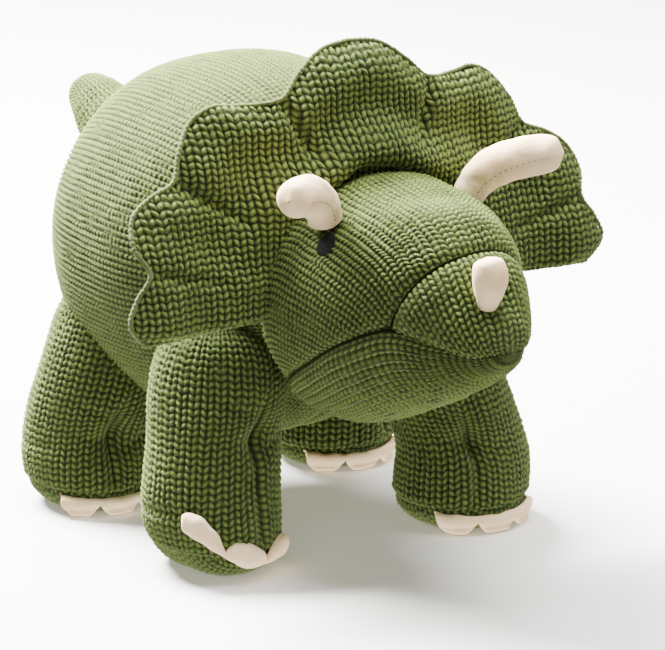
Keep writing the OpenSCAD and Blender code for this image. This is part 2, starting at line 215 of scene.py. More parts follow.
def knitted(name, p, uv, material, yarn=1.5, inward=0.0, closed=False, outward=None, seed=1,
            lump=0.45, lump_size=38):
    """A knitted surface: the grid's own shape with stitches, tucks and stuffing lumps on it."""
    normals = grid_normals(p, closed)
    flip = facing(p, normals, outward)
    if flip:
        normals = -normals
    uneven = lumps(p, 15, seed + 50) * UNEVEN_WALES
    relief = stitches(uv[..., 0] + uneven, uv[..., 1] + lumps(p, 11, seed + 70) * UNEVEN_COURSES)
    plump = 1 + UNEVEN_YARN * lumps(p, 5, seed + 90)
    tight = np.clip(1 - np.asarray(inward) / 4, 0.35, 1) * plump
    rise = yarn * (relief - LEVEL) * tight - inward + lump * lumps(p, lump_size, seed)
    shaped = p + normals * rise[..., None]
    if closed:
        shaped[:, -1] = shaped[:, 0]
    obj = grid_mesh(name, shaped, uv, relief, closed, flip)
    obj.data.materials.append(material)
    return obj


def smooth_piece(name, p, material, closed=False, outward=None, uv=None):
    """A plain grid surface, such as felt, with an even texture map."""
    normals = grid_normals(p, closed)
    flip = facing(p, normals, outward)
    if uv is None:
        rows, cols = p.shape[:2]
        uv = np.stack(np.meshgrid(np.linspace(0, 1, rows), np.linspace(0, 1, cols), indexing="ij"), -1)
    obj = grid_mesh(name, p, uv, np.ones(p.shape[:2]), closed, flip)
    obj.data.materials.append(material)
    return obj


def thread(name, path, radius, material, sides=8, twist=0.0):
    """A round thread along a path; the radius may change along it."""
    path = np.asarray(path, float)
    ways = np.gradient(path, axis=0)
    ways /= np.linalg.norm(ways, axis=1, keepdims=True)
    side = np.cross(ways, [0.03, 0.07, 1.0])
    side /= np.linalg.norm(side, axis=1, keepdims=True)
    up = np.cross(side, ways)
    a = np.linspace(0, 2 * math.pi, sides + 1)[None, :] + twist * np.arange(len(path))[:, None]
    r = np.broadcast_to(np.asarray(radius, float), (len(path),))[:, None, None]
    p = path[:, None] + r * (np.cos(a)[..., None] * side[:, None] + np.sin(a)[..., None] * up[:, None])
    p[:, -1] = p[:, 0]
    run = distances(path)
    uv = np.stack(np.broadcast_arrays(a / (2 * math.pi), run[:, None] / 3), -1)
    outward = p - path[:, None]
    return smooth_piece(name, p, material, closed=True, outward=outward, uv=uv)


def joined(name, objs):
    """One mesh object out of several that share a material."""
    bpy.ops.object.select_all(action="DESELECT")
    for o in objs:
        o.select_set(True)
    bpy.context.view_layer.objects.active = objs[0]
    bpy.ops.object.join()
    objs[0].name = name
    objs[0].data.name = name
    return objs[0]


# ------------------------------------------------------------------ materials
class Nodes:
    """A short way to write a material's nodes."""

    def __init__(self, name):
        self.material = bpy.data.materials.new(name)
        self.material.use_nodes = True
        self.tree = self.material.node_tree
        self.tree.nodes.clear()
        self.out = self.tree.nodes.new("ShaderNodeOutputMaterial")
        self.shader = self.tree.nodes.new("ShaderNodeBsdfPrincipled")
        self.link(self.shader.outputs[0], self.out.inputs[0])

    def link(self, a, b):
        self.tree.links.new(a, b)

    def put(self, socket, value):
        if isinstance(value, bpy.types.NodeSocket):
            self.link(value, socket)
        else:
            socket.default_value = value

    def math(self, what, a, b=None, c=None):
        n = self.tree.nodes.new("ShaderNodeMath")
        n.operation = what
        for k, v in enumerate((a, b, c)):
            if v is not None:
                self.put(n.inputs[k], v)
        return n.outputs[0]

    def node(self, kind, **settings):
        n = self.tree.nodes.new(kind)
        for k, v in settings.items():
            setattr(n, k, v)
        return n

    def noise(self, vector, scale, detail, roughness):
        n = self.node("ShaderNodeTexNoise")
        self.put(n.inputs["Vector"], vector)
        n.inputs["Scale"].default_value = scale
        n.inputs["Detail"].default_value = detail
        n.inputs["Roughness"].default_value = roughness
        return n.outputs["Fac"]

    def ramp(self, factor, stops):
        n = self.node("ShaderNodeValToRGB")
        self.put(n.inputs[0], factor)
        ramp = n.color_ramp
        ramp.interpolation = "B_SPLINE"
        while len(ramp.elements) < len(stops):
            ramp.elements.new(0.5)
        for e, (at, colour) in zip(ramp.elements, stops):
            e.position = at
            e.color = (*colour, 1)
        return n.outputs[0]

    def mix(self, how, factor, a, b):
        n = self.node("ShaderNodeMix", data_type="RGBA", blend_type=how)
        self.put(n.inputs[0], factor)
        self.put(n.inputs[6], a)
        self.put(n.inputs[7], b)
        return n.outputs[2]

    def combine(self, x, y, z):
        n = self.node("ShaderNodeCombineXYZ")
        for k, v in enumerate((x, y, z)):
            self.put(n.inputs[k], v)
        return n.outputs[0]

    def bump(self, height, distance, strength, normal=None):
        n = self.node("ShaderNodeBump")
        n.inputs["Strength"].default_value = strength
        n.inputs["Distance"].default_value = distance
        self.put(n.inputs["Height"], height)
        if normal is not None:
            self.link(normal, n.inputs["Normal"])
        return n.outputs[0]

    def finish(self, colour, roughness, normal, sheen, sheen_tint, specular):
        s = self.shader.inputs
        self.put(s["Base Color"], colour)
        self.put(s["Roughness"], roughness)
        self.link(normal, s["Normal"])
        s["Sheen Weight"].default_value = sheen
        s["Sheen Roughness"].default_value = 0.45
        s["Sheen Tint"].default_value = (*sheen_tint, 1)
        s["Specular IOR Level"].default_value = specular
        return self.material


def yarn_material(name, deep, mid, light, sheen=0.12):
    """Knitted yarn: shade painted into the stitch holes, lighter strands, twisted fibres and a fuzzy bloom.
    """
    n = Nodes(name)
    place = n.node("ShaderNodeUVMap", uv_map="knit")
    split = n.node("ShaderNodeSeparateXYZ")
    n.link(place.outputs[0], split.inputs[0])
    u, v = split.outputs[0], split.outputs[1]
    d = n.math("MULTIPLY", n.math("ABSOLUTE", n.math("SUBTRACT", n.math("FRACT", u), 0.5)), 2.0)
    climb = n.math("SUBTRACT", v, n.math("MULTIPLY", d, LEAN))
    p = n.math("FRACT", climb)
    rope = n.math("POWER", n.math("SINE", n.math("MULTIPLY", d, math.pi)), ROPE_POWER)
    bead = n.math("POWER", n.math("SINE", n.math("MULTIPLY", p, math.pi)), BEAD_POWER)
    height = n.math("MULTIPLY", rope, n.math("MULTIPLY_ADD", bead, 1 - VALLEY, VALLEY))
    where = n.node("ShaderNodeTexCoord").outputs["Object"]
    strand = n.combine(n.math("MULTIPLY", climb, 5.0), n.math("MULTIPLY", d, 1.3), n.math("FLOOR", u))
    fibre = n.noise(strand, 2.6, 4.0, 0.65)
    fuzz = n.noise(where, 900.0, 3.0, 0.7)
    mottle = n.noise(where, 60.0, 3.0, 0.6)
    made = n.node("ShaderNodeAttribute", attribute_name="relief").outputs["Fac"]
    # Painted shade: the stitch relief drives the colour ramp, near black in the holes and green on the
    # strands.
    depth = n.math("MULTIPLY_ADD", made, 0.6, n.math("MULTIPLY", height, 0.4))
    tone = n.math("ADD", depth, n.math("MULTIPLY", n.math("SUBTRACT", fibre, 0.5), 1.0))
    tone = n.math("ADD", tone, n.math("MULTIPLY", n.math("SUBTRACT", fuzz, 0.5), 0.8))
    colour = n.ramp(tone, [(0.16, deep), (0.48, mid), (0.92, light)])
    patches = n.ramp(mottle, [(0.3, (0.72, 0.74, 0.66)), (0.7, (1.0, 1.0, 1.0))])
    colour = n.mix("MULTIPLY", 0.5, colour, patches)
    relief = n.math("ADD", n.math("MULTIPLY", height, 0.55), n.math("MULTIPLY", fibre, 0.35))
    first = n.bump(relief, 0.0009, 0.85)
    normal = n.bump(fuzz, 0.00025, 0.6, first)
    rough = n.math("MULTIPLY_ADD", fuzz, 0.2, 0.78)
    return n.finish(colour, rough, normal, sheen, light_tint(light), 0.12)


def light_tint(colour):
    top = max(colour)
    return tuple(0.35 + 0.65 * c / top for c in colour)


def felt_material(name, shade, face, sheen=0.5, shine=0.2):
    """Brushed fleece felt: short matted fibres over a soft, uneven face."""
    n = Nodes(name)
    where = n.node("ShaderNodeTexCoord").outputs["Object"]
    fine = n.noise(where, 1500.0, 4.0, 0.7)
    nap = n.noise(where, 380.0, 4.0, 0.65)
    soft = n.noise(where, 70.0, 2.0, 0.5)
    blotch = n.math("ADD", n.math("MULTIPLY", nap, 0.45), n.math("MULTIPLY", soft, 0.55))
    colour = n.ramp(blotch, [(0.32, shade), (0.62, face)])
    colour = n.mix("MULTIPLY", 0.35, colour, n.ramp(fine, [(0.35, (0.8, 0.76, 0.7)), (0.65, (1, 1, 1))]))
    first = n.bump(nap, 0.0005, 0.55)
    normal = n.bump(fine, 0.0002, 0.5, first)
    rough = n.math("MULTIPLY_ADD", fine, 0.15, 0.8)
    return n.finish(colour, rough, normal, sheen, (1.0, 0.93, 0.85), shine)


def satin_material(name, dark, light):
    """Black embroidery thread laid side by side."""
    n = Nodes(name)
    place = n.node("ShaderNodeUVMap", uv_map="knit")
    split = n.node("ShaderNodeSeparateXYZ")
    n.link(place.outputs[0], split.inputs[0])
    lay = n.math("SINE", n.math("MULTIPLY", split.outputs[0], 2 * math.pi * 16))
    where = n.node("ShaderNodeTexCoord").outputs["Object"]
    fine = n.noise(where, 1800.0, 3.0, 0.6)
    colour = n.ramp(n.math("MULTIPLY_ADD", lay, 0.25, fine), [(0.2, dark), (0.95, light)])
    normal = n.bump(n.math("MULTIPLY_ADD", lay, 0.5, fine), 0.0002, 0.6)
    rough = n.math("MULTIPLY_ADD", fine, 0.25, 0.5)
    return n.finish(colour, rough, normal, 0.0, (0.6, 0.6, 0.6), 0.06)


# Near black: the painted shade at the bottom of the stitch holes.
HOLE_SHADE_GREEN = (0.0012, 0.002, 0.0004)
GREEN = yarn_material("green_yarn", HOLE_SHADE_GREEN, (0.025, 0.039, 0.0058), (0.145, 0.200, 0.043))
# A darker copy of the green yarn, for the soles and the frill's back: painted shade.
SHADE = yarn_material("green_yarn_painted_shade", HOLE_SHADE_GREEN, (0.026, 0.040, 0.006), (0.125, 0.175, 0.040))
# Near-black thread for the mouth and snout seams: painted shade of the creases.
SEAM_SHADE = felt_material("seam_thread_painted_shade", (0.002, 0.0035, 0.0007), (0.008, 0.013, 0.0025), 0.0, 0.02)
EDGE = felt_material("green_rim_yarn", (0.022, 0.034, 0.006), (0.125, 0.165, 0.045), 0.15)
PEACH = felt_material("peach_fleece", (0.90, 0.58, 0.30), (0.97, 0.78, 0.52), 0.1)
STITCH = felt_material("grey_thread", (0.22, 0.17, 0.15), (0.38, 0.31, 0.28), 0.1)
BLACK = satin_material("black_thread", (0.0005, 0.0005, 0.0005), (0.004, 0.004, 0.004))

# ------------------------------------------------------------------ body
BODY_LENGTH = 75.5
BODY_CENTRE_TO_RUMP = 78
BODY_ROUND = 2.3
body_radius = (high("body_cover")[0] - low("body_cover")[0]) / 2
body_y = high("body_cover")[1] - BODY_CENTRE_TO_RUMP
body_z = high("body_cover")[2] - body_radius
BODY_WALES = 94
OUTLINE_FROM, OUTLINE_TO = -58, 90     # degrees, from the neck end to the rump
RUMP_HOLE = 0.6                       # the rings stop this far from the axis
SHOULDER_WIDE = 47                    # the neck joins the body where it is this wide
SMOOTHING = 41                        # points over which the outline is evened out
KEPT_ENDS = 30                        # points at each end that stay as they are

angles = np.radians(np.linspace(OUTLINE_FROM, OUTLINE_TO, 500))
outline = np.stack([body_radius * rounded(np.cos(angles), BODY_ROUND),
                    body_y + BODY_LENGTH * rounded(np.sin(angles), BODY_ROUND)], -1)
neck_y = middle("neck_stuffing")[1]
# The neck's outline and the body's: distance from the axis, then place along Y.
neck_line = np.array([[35, neck_y - 22], [37, neck_y - 16], [39.5, neck_y - 9], [43, neck_y - 2]])
outline = outline[outline[:, 0] > RUMP_HOLE]
outline = outline[(outline[:, 0] > SHOULDER_WIDE) | (outline[:, 1] > body_y)]
profile = np.concatenate([neck_line, outline])
profile = along(profile, 900)
kernel = np.hanning(SMOOTHING) / np.hanning(SMOOTHING).sum()
padded_profile = np.pad(profile, ((SMOOTHING // 2, SMOOTHING // 2), (0, 0)), mode="edge")
soft = np.stack([np.convolve(padded_profile[:, k], kernel, "valid") for k in range(2)], -1)
profile[KEPT_ENDS:-KEPT_ENDS] = soft[KEPT_ENDS:-KEPT_ENDS]
rows = count_for(length_of(profile), 0.78 * COARSE)
profile = along(profile, rows)
cols = BODY_WALES * (6 if COARSE == 1 else 4) + 1
turn = np.linspace(0, 2 * math.pi, cols)
ring = np.stack([np.sin(turn), np.zeros(cols), -np.cos(turn)], -1)
p = profile[:, None, :1] * ring[None] + np.array([0, 0, body_z])
p[..., 1] += profile[:, None, 1]
run = distances(profile)
uv = np.stack(np.broadcast_arrays(turn[None] / (2 * math.pi) * BODY_WALES, run[:, None] / COURSE), -1)
# The seam under the belly is drawn in.
belly = hump(turn[None], 0.035) + hump(turn[None] - 2 * math.pi, 0.035)
inward = 1.6 * belly * ease((run[:, None] - 20) / 20)
body_skin = knitted("body_knit", p, uv, GREEN, yarn=1.45, inward=inward, closed=True, seed=3, lump=0.9,
                    lump_size=70)
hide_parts("body_cover", "body_stuffing", "neck_stuffing")
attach(body_skin, "torso")

# ------------------------------------------------------------------ legs
LEG_WALES = 32
# Heights up a leg, then its radius at each.
LEG_AT = [0, 3, 8, 16, 30, 46, 60, 70, 78, 84, 88, 90.5]
LEG_RADIUS = {
    "front": [17, 21.5, 25, 25.6, 24.6, 24.2, 25.0, 24.6, 22.2, 17.5, 10, 2.5],
    "rear": [17, 21.5, 25, 25.6, 25, 25, 25.5, 23.8, 20.0, 15, 9, 2.5],
}
SOLE_TOP = 9
ROLL_HIGH = 24                        # the sole's roll has faded out at this height
ROLL_WIDE = math.radians(58)
MEAN_RADIUS = 24                      # turns an angle round a leg into a distance
HIP_DRIFT = {"front": 11, "rear": -3}  # how far backwards a leg's top leans
# For each leg: how far its top leans inwards, where its gathered seam runs and how high its
# dimple is, where and how much the sole rolls up at the side, and whether the toes are folded
# up or hang down. Angles are in degrees from straight ahead, growing towards the toy's left.
LEGS = {
    "front_right": {"lean": 10, "seam": 14, "dimple": 50, "roll_at": -80, "roll": 6.5, "toes": "up"},
    "front_left": {"lean": 12, "seam": -19, "dimple": 35, "roll_at": 120, "roll": 2.0, "toes": "down"},
    "rear_right": {"lean": 12, "seam": -6, "dimple": 30, "roll_at": -100, "roll": 2.5, "toes": "down"},
    "rear_left": {"lean": 10, "seam": 26, "dimple": 34, "roll_at": 100, "roll": 2.0, "toes": "down"},
}
TOE_REACH = 58.0


def around(a):
    """Points of a ring; angle 0 is straight ahead and grows towards the toy's left."""
    return np.stack([np.sin(a), -np.cos(a), np.zeros_like(a)], -1)


def apart(a, b):
    """Difference of two angles, from -pi to pi."""
    return (a - b + math.pi) % (2 * math.pi) - math.pi


def foot_radius(z, a, leg, end):
    """Radius of a leg at a height, with the sole rolled up on one side."""
    side = hump(apart(a, math.radians(leg["roll_at"])), ROLL_WIDE)
    return curve(LEG_AT, LEG_RADIUS[end], z) - leg["roll"] * side * ease((ROLL_HIGH - z) / ROLL_HIGH)


def build_leg(end, side):
    name = f"{end}_{side}"
    node = f"leg_{name}"
    leg = LEGS[name]
    sign = 1 if side == "left" else -1
    seed = 11 + 2 * (end == "rear") + (side == "left")
    foot = middle(f"{node}_sole") * [1, 1, 0]
    drift = np.array([-leg["lean"] * sign, HIP_DRIFT[end], 0])
    # Each ring's height and radius, from the sole seam up and over the hip.
    heights = np.linspace(SOLE_TOP - 1.2, LEG_AT[-1], 300)
    line = along([[z, curve(LEG_AT, LEG_RADIUS[end], z)] for z in heights], count_for(108))
    cols = LEG_WALES * (7 if COARSE == 1 else 4) + 1
    turn = np.linspace(0, 2 * math.pi, cols)
    z = line[:, :1]
    centre = foot + ease((z - 22) / 58) * drift
    p = centre[:, None] + foot_radius(z, turn[None], leg, end)[..., None] * around(turn)[None]
    p[..., 2] += z
    reach = apart(turn, math.radians(leg["seam"]))[None] * MEAN_RADIUS
    run = distances(line)
    # The stitches climb towards the gathered seam, and the leg is drawn in at its dimple.
    dimple = leg["dimple"]
    below = 1 - ease((z - dimple) / 12)
    climb = (2.6 * below - 1.6 * (1 - below)) * np.exp(-np.abs(reach) / 8)
    uv = np.stack(np.broadcast_arrays(turn[None] / (2 * math.pi) * LEG_WALES,
                                      run[:, None] / COURSE - climb), -1)
    # Creases run away from the dimple on both sides, and one lies round the ankle over the roll.
    gather = 2.6 * hump(reach, 1.9) * ease((z - 10) / 8) * (1 - ease((z - dimple - 8) / 10))
    pinch = 4.6 * hump(z - dimple, 6) * hump(reach, 6) + 1.5 * hump(z - dimple, 8) * hump(reach, 20)
    fold = 0.9 * hump(z - dimple + 7 - 0.45 * reach, 1.8) * hump(reach - 11, 8)
    fold += 0.9 * hump(z - dimple - 7 + 0.4 * reach, 1.8) * hump(reach + 11, 8)
    fold += 0.8 * hump(z - dimple + 2 + 0.25 * reach, 1.6) * hump(reach + 9, 7)
    ankle = apart(turn, math.radians(leg["roll_at"]))[None] * MEAN_RADIUS
    fold += 0.22 * leg["roll"] * hump(z - 25 - 0.12 * ankle, 1.7) * hump(ankle, 16)
    hem = 1.8 * hump(z - SOLE_TOP + 0.6, 2.0)
    skin = knitted(f"leg_{name}_knit", p, uv, GREEN, yarn=1.5, inward=gather + pinch + fold + hem,
                   closed=True, outward=p - centre[:, None], seed=seed, lump=0.7, lump_size=44)
    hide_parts(f"{node}_cover", f"{node}_stuffing")
    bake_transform(skin)

    # The sole: a shallow knitted bowl whose stitches run across the foot.
    bowl = [[0.5, 0.4], [9, 0.3]] + [[curve(LEG_AT, LEG_RADIUS[end], h), h + 0.2]
                                     for h in np.linspace(0, SOLE_TOP + 0.6, 24)]
    bowl = along(bowl, count_for(36, 0.7 * COARSE))
    cols = int(150 / (0.75 * COARSE)) + 1
    turn = np.linspace(0, 2 * math.pi, cols)
    h = bowl[:, 1:]
    shrink = foot_radius(h, turn[None], leg, end) / curve(LEG_AT, LEG_RADIUS[end], h)
    p = foot + (bowl[:, :1] * shrink)[..., None] * around(turn)[None]
    # Where the sole rolls up, it leaves the floor.
    side_lift = hump(apart(turn, math.radians(leg["roll_at"])), ROLL_WIDE)[None]
    p[..., 2] += h + 0.45 * leg["roll"] * side_lift * (bowl[:, :1] / 25) ** 3
    run = distances(bowl)
    flat = run[:, None, None] * around(turn)[None]
    uv = np.stack([flat[..., 1] / WALE, flat[..., 0] / COURSE], -1)
    relief = stitches(uv[..., 0], uv[..., 1])
    normals = grid_normals(p, True)
    flip = facing(p, normals, p - (foot + [0, 0, 10]))
    if flip:
        normals = -normals
    lift = np.clip(p[..., 2] / 3, 0.12, 1)
    tuck = 1.4 * hump(h - SOLE_TOP - 0.4, 1.8)
    p = p + normals * ((1.1 * (relief - LEVEL)) * lift - tuck)[..., None]
    p[..., 2] = np.maximum(p[..., 2], 0.05)
    p[:, -1] = p[:, 0]
    sole = grid_mesh(f"leg_{name}_sole_knit", p, uv, relief, True, flip)
    sole.data.materials.append(SHADE)
    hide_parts(f"{node}_sole")
    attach(sole, node)

    # The toe strip: three puffed felt scallops along the sole seam.
    across = np.radians(np.linspace(-TOE_REACH, TOE_REACH, int(170 / COARSE)))
    share = np.linspace(0, 1, int(40 / COARSE))[:, None]
    third = (np.degrees(across) + TOE_REACH) / (2 * TOE_REACH) * 3
    scallop = np.abs(np.sin(math.pi * third)) ** 0.6
    if leg["toes"] == "up":
        # The seam climbs towards the side where the sole rolls up.
        climbing = 0.30 * np.logaddexp(0, np.degrees(across) / np.sign(leg["roll_at"]) / 4) * 4
        edge = 4.2 + climbing
        free = edge + 1.8 + 8.2 * scallop
        flare = 1.2 * np.ones(share.shape)
    else:
        edge = 8.6 + 1.2 * np.cos(across * 1.6 + math.pi)
        free = edge - 1.8 - 6.6 * scallop
        flare = 0.6 + 2.6 * share
    free = np.maximum(free, 0.4)
    height = edge + (free - edge) * share
    crown = np.sqrt(np.clip(1 - np.abs(2 * share - 1) ** 3.0, 0, 1))
    crown = crown * (0.35 + 0.65 * scallop ** 0.7)
    ends = ease((TOE_REACH - np.abs(np.degrees(across))) / 6)
    radius = foot_radius(np.maximum(height, 3), across[None], leg, end) - 0.9 + (2.9 * crown + flare) * ends
    p = foot + radius[..., None] * around(across)[None]
    p[..., 2] += height
    normals = grid_normals(p, False)
    flip = facing(p, normals, p - (foot + [0, 0, 4]))
    p = p + (-normals if flip else normals) * (0.22 * lumps(p, 7, seed + 5))[..., None]
    p[..., 2] = np.maximum(p[..., 2], 0.3)
    claws = smooth_piece(f"leg_{name}_toes_felt", p, PEACH, outward=p - (foot + [0, 0, 4]))
    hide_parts(f"{node}_claws")
    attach(claws, node)


for end in ("front", "rear"):
    for side in ("right", "left"):
        build_leg(end, side)

# ------------------------------------------------------------------ head
# Distances forward of the shoulders, then half the head's width, its top and its underside.
HEAD_AT = [8, 14, 20, 27.5, 39, 56.5, 74, 87, 97, 103, 107, 109]
HEAD_WIDE = [34, 40.5, 44.3, 44.5, 43.5, 39.2, 28.3, 20.8, 15, 10.8, 7, 0.15]
HEAD_TOP = [131, 138, 141, 143.5, 142.5, 140.5, 138, 130, 118.8, 110.8, 105, 97.2]
HEAD_UNDER = [73, 65, 59, 55, 57.6, 64.6, 73, 79.3, 86.4, 90, 93, 96.8]
HEAD_ROUND = 2.2
HEAD_NOSE = 109
HEAD_BACK = 9
HEAD_MIDDLE_Z = 98
SLIM_UNDER = 14      # the relief fades where half the head is narrower than this
HEAD_TILT = 0.03
# The height of the mouth line at distances forward of the shoulders.
MOUTH_AT = [8, 14, 36, 60, 74, 89, 101, 109]
MOUTH_HEIGHT = [66, 68, 80.5, 95.5, 101.5, 98.3, 95.2, 97]
SNOUT_BACK = 35
SEAM_LEAN = 14
shoulder_y = low("head_snout_cover")[1] + HEAD_NOSE


def head_point(f, a):
    """A point of the head: `f` forward of the shoulders, angle `a` round the section."""
    w = curve(HEAD_AT, HEAD_WIDE, f)
    top = curve(HEAD_AT, HEAD_TOP, f)
    under = curve(HEAD_AT, HEAD_UNDER, f)
    x = w * rounded(np.cos(a), HEAD_ROUND)
    z = (top + under) / 2 + (top - under) / 2 * rounded(np.sin(a), HEAD_ROUND) + HEAD_TILT * x
    return np.stack(np.broadcast_arrays(x, shoulder_y - f, z), -1)


def mouth_angle(f):
    top = curve(HEAD_AT, HEAD_TOP, f)
    under = curve(HEAD_AT, HEAD_UNDER, f)
    s = (curve(MOUTH_AT, MOUTH_HEIGHT, f) - (top + under) / 2) / ((top - under) / 2)
    s = np.clip(s, -0.98, 0.98)
    return np.arcsin(np.sign(s) * np.abs(s) ** (HEAD_ROUND / 2))


def head_back(q):
    return HEAD_BACK + 0 * q


def nose_tip(q):
    return HEAD_NOSE + 0 * q


def slimness(f, least=0):
    return np.clip(curve(HEAD_AT, HEAD_WIDE, f) / SLIM_UNDER, least, 1)


def snout_seam(q):
    return HEAD_NOSE - SNOUT_BACK + SEAM_LEAN * np.sin(math.pi / 2 * (1 - np.abs(2 * q - 1)))


def panel(first, last, rows, cols, above, crowd=1.0):
    """Grid of a head panel between two edges, above or below the mouth line."""
    q = np.linspace(0, 1, cols)[None]
    t = (1 - (1 - np.linspace(0, 1, rows)) ** crowd)[:, None]
    f = first(q) + (last(q) - first(q)) * t
    m = mouth_angle(f)
    low_a, high_a = (m, math.pi - m) if above else (math.pi - m, 2 * math.pi + m)
    a = low_a + (high_a - low_a) * q
    p = head_point(f, a)
    across = np.linalg.norm(np.diff(p, axis=1), axis=-1).sum(1)[:, None]
    from_side = np.minimum(q, 1 - q) * across
    return p, f, from_side, q * np.ones_like(f)


def knit_over(p):
    """Stitch places measured over the cloth: wales from the middle column, courses down the rows."""
    across = np.linalg.norm(np.diff(p, axis=1), axis=-1)
    across = np.concatenate([np.zeros((len(p), 1)), np.cumsum(across, axis=1)], axis=1)
    across -= across[:, p.shape[1] // 2, None]
    down = np.linalg.norm(np.diff(p, axis=0), axis=-1)
    down = np.concatenate([np.zeros((1, p.shape[1])), np.cumsum(down, axis=0)])
    return np.stack([across / WALE, down / COURSE], -1)


horn_left = np.array([31, shoulder_y - 39, 134.5])
horn_right = np.array([-31, shoulder_y - 39, 132.5])
nose_base = np.array([-3, shoulder_y - 100.5, 115.5])


def dents(p):
    """How far sewn-on pieces draw the cover in round them."""
    total = np.zeros(p.shape[:-1])
    for spot, deep, wide in ((horn_right, 1.6, 9), (horn_left, 1.6, 9), (nose_base, 2.0, 6.5)):
        total += deep * hump(np.linalg.norm(p - spot, axis=-1), wide)
    return total


p, f, from_side, q = panel(head_back, snout_seam, count_for(104), count_for(185), True)
from_seam = snout_seam(q) - f
inward = 1.9 * hump(from_side, 1.8) + 1.5 * hump(from_seam, 1.7) + dents(p)
crown = knitted("head_crown_knit", p, knit_over(p), GREEN, yarn=1.5, inward=inward,
                outward=p - np.array([0, shoulder_y - 40, HEAD_MIDDLE_Z]), seed=21, lump=0.6)
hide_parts("head_crown_cover", "head_stuffing")

p, f, from_side, q = panel(snout_seam, nose_tip, count_for(48), count_for(120), True, 2.0)
from_seam = f - snout_seam(q)
slim = slimness(f)
tucks = 1.5 * hump(from_side, 1.8) + 1.4 * hump(from_seam, 1.7) - 0.9 * ease(from_seam / 8)
inward = slim * tucks + dents(p)
snout = knitted("head_snout_knit", p, knit_over(p), GREEN, yarn=1.5 * slim, inward=inward,
                outward=p - np.array([0, shoulder_y - 80, HEAD_MIDDLE_Z]), seed=22, lump=0.4)
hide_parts("head_snout_cover")

p, f, from_side, q = panel(head_back, nose_tip, count_for(112), count_for(112), False, 1.25)
slim = slimness(f)
inward = slim * (2.2 * hump(from_side, 2.4) - 0.5 * ease(from_side / 12))
# The jaw's ribs spread from the chin to the throat.
uv = np.stack([(q - 0.5) * 24 + 0.5, f * 1.08 / COURSE], -1)
rib = 0.7 * np.cos(uv[..., 0] * 2 * math.pi) * ease(from_side / 5) * slim
jaw = knitted("head_jaw_knit", p, uv, GREEN, yarn=1.35 * slim, inward=inward - rib,
              outward=p - np.array([0, shoulder_y - 50, 105]), seed=23, lump=0.5)
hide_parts("head_jaw_cover")
for piece in (crown, snout, jaw):
    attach(piece, "head")

# Sewing thread sunk in the mouth line and in the snout seam, coloured near black as painted shade for their
# creases.
lines = []
for edge in (0, 1):
    f = np.linspace(24, HEAD_NOSE - 0.2, 140)
    m = mouth_angle(f)
    line = head_point(f, m if edge == 0 else math.pi - m)
    centre = np.stack([0 * f, shoulder_y - f + 4, 96 + 0 * f], -1)
    way = centre - line
    slim = slimness(f, 0.2)
    line = line + way / np.linalg.norm(way, axis=1, keepdims=True) * (1.5 * slim[:, None])
    lines.append(thread(f"mouth_{edge}", line, 0.55 * slim, SEAM_SHADE))
mouth = joined("mouth_seam_shade_thread", lines)
q = np.linspace(0.01, 0.99, 160)
f = snout_seam(q)
m = mouth_angle(f)
line = head_point(f, m + (math.pi - 2 * m) * q)
way = np.array([0, shoulder_y - 76, HEAD_MIDDLE_Z]) - line
line = line + way / np.linalg.norm(way, axis=1, keepdims=True) * 1.35
snout_line = thread("snout_seam_shade_thread", line, 0.55, SEAM_SHADE)
for piece in (mouth, snout_line):
    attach(piece, "head")

# ------------------------------------------------------------------ eyes
EYE_AT, EYE_ANGLE = 45, math.radians(38)
EYE_WIDE, EYE_TALL = 7.8, 9.0
for side, sign in (("right", -1), ("left", 1)):
    angle = EYE_ANGLE if sign > 0 else math.pi - EYE_ANGLE
    spot = head_point(np.array(EYE_AT), np.array(angle))
    ahead = head_point(np.array(EYE_AT + 1), np.array(angle)) - spot
    over = head_point(np.array(EYE_AT), np.array(angle + 0.02 * sign)) - spot
    ahead /= np.linalg.norm(ahead)
    out = np.cross(ahead, over)
    out *= np.sign(out @ (spot - [0, spot[1], HEAD_MIDDLE_Z])) / np.linalg.norm(out)
    over = np.cross(out, ahead)
    r = np.linspace(0.02, 1, 22)[:, None]
    t = np.linspace(0, 2 * math.pi, 73)[None]
    x = r * np.cos(t) * EYE_WIDE / 2
    y = r * np.sin(t) * EYE_TALL / 2
    ridge = 0.07 * np.sin(x / 0.42 * 2 * math.pi) * (1 - r**4)
    lift = 0.15 + 1.0 * (1 - r**2) ** 0.6 - 0.010 * (x**2 + y**2) + ridge
    p = spot + x[..., None] * ahead + y[..., None] * over + lift[..., None] * out
    p[:, -1] = p[:, 0]
    uv = np.stack([x / EYE_WIDE + 0.5, y / EYE_TALL + 0.5], -1)
    eye = smooth_piece(f"eye_{side}_stitched", p, BLACK, closed=True,
                       outward=np.broadcast_to(out, p.shape), uv=uv)
    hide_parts(f"eye_{side}")
    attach(eye, "head")

# ------------------------------------------------------------------ frill
FRILL_Z = 98
FRILL_INNER = 40.5
FRILL_END = 158
FRILL_ROOT = 21
# The rim from the middle of the top lobe down to the bottom corner: distance along it, then
# how far out, how far forward and how high it stands.
RIM_AT = [0, 12, 24, 36, 50, 59, 68, 80, 90, 101, 110.5, 119.5, 128.5, 138, 147, 158]
RIM_OUT = [0, 12, 22.5, 31, 45.5, 54.5, 63, 69.7, 73.5, 83.7, 91.4, 93.8, 90.8, 96.3, 99.6, 93.3]
RIM_FORWARD = [4.2, 5.5, 7.5, 9.5, 4.5, 2, 1.4, 5, 7.6, 8, 9.9, 15.5, 21.3, 21.9, 22.6, 21.5]
RIM_HEIGHT = [187.8, 186, 179, 171.5, 170.4, 170.8, 166.6, 157, 148, 143.4, 137.7, 129, 120.4, 112.4,
              103.9, 95.5]
DIPS = (36, 90, 128.5)
DIP_WIDE = 7
TOP_REACH = 125     # the roll over the head has faded out this far along the rim
SEWN_DEEP = 4.4     # depth of the lines sewn inwards from the dips


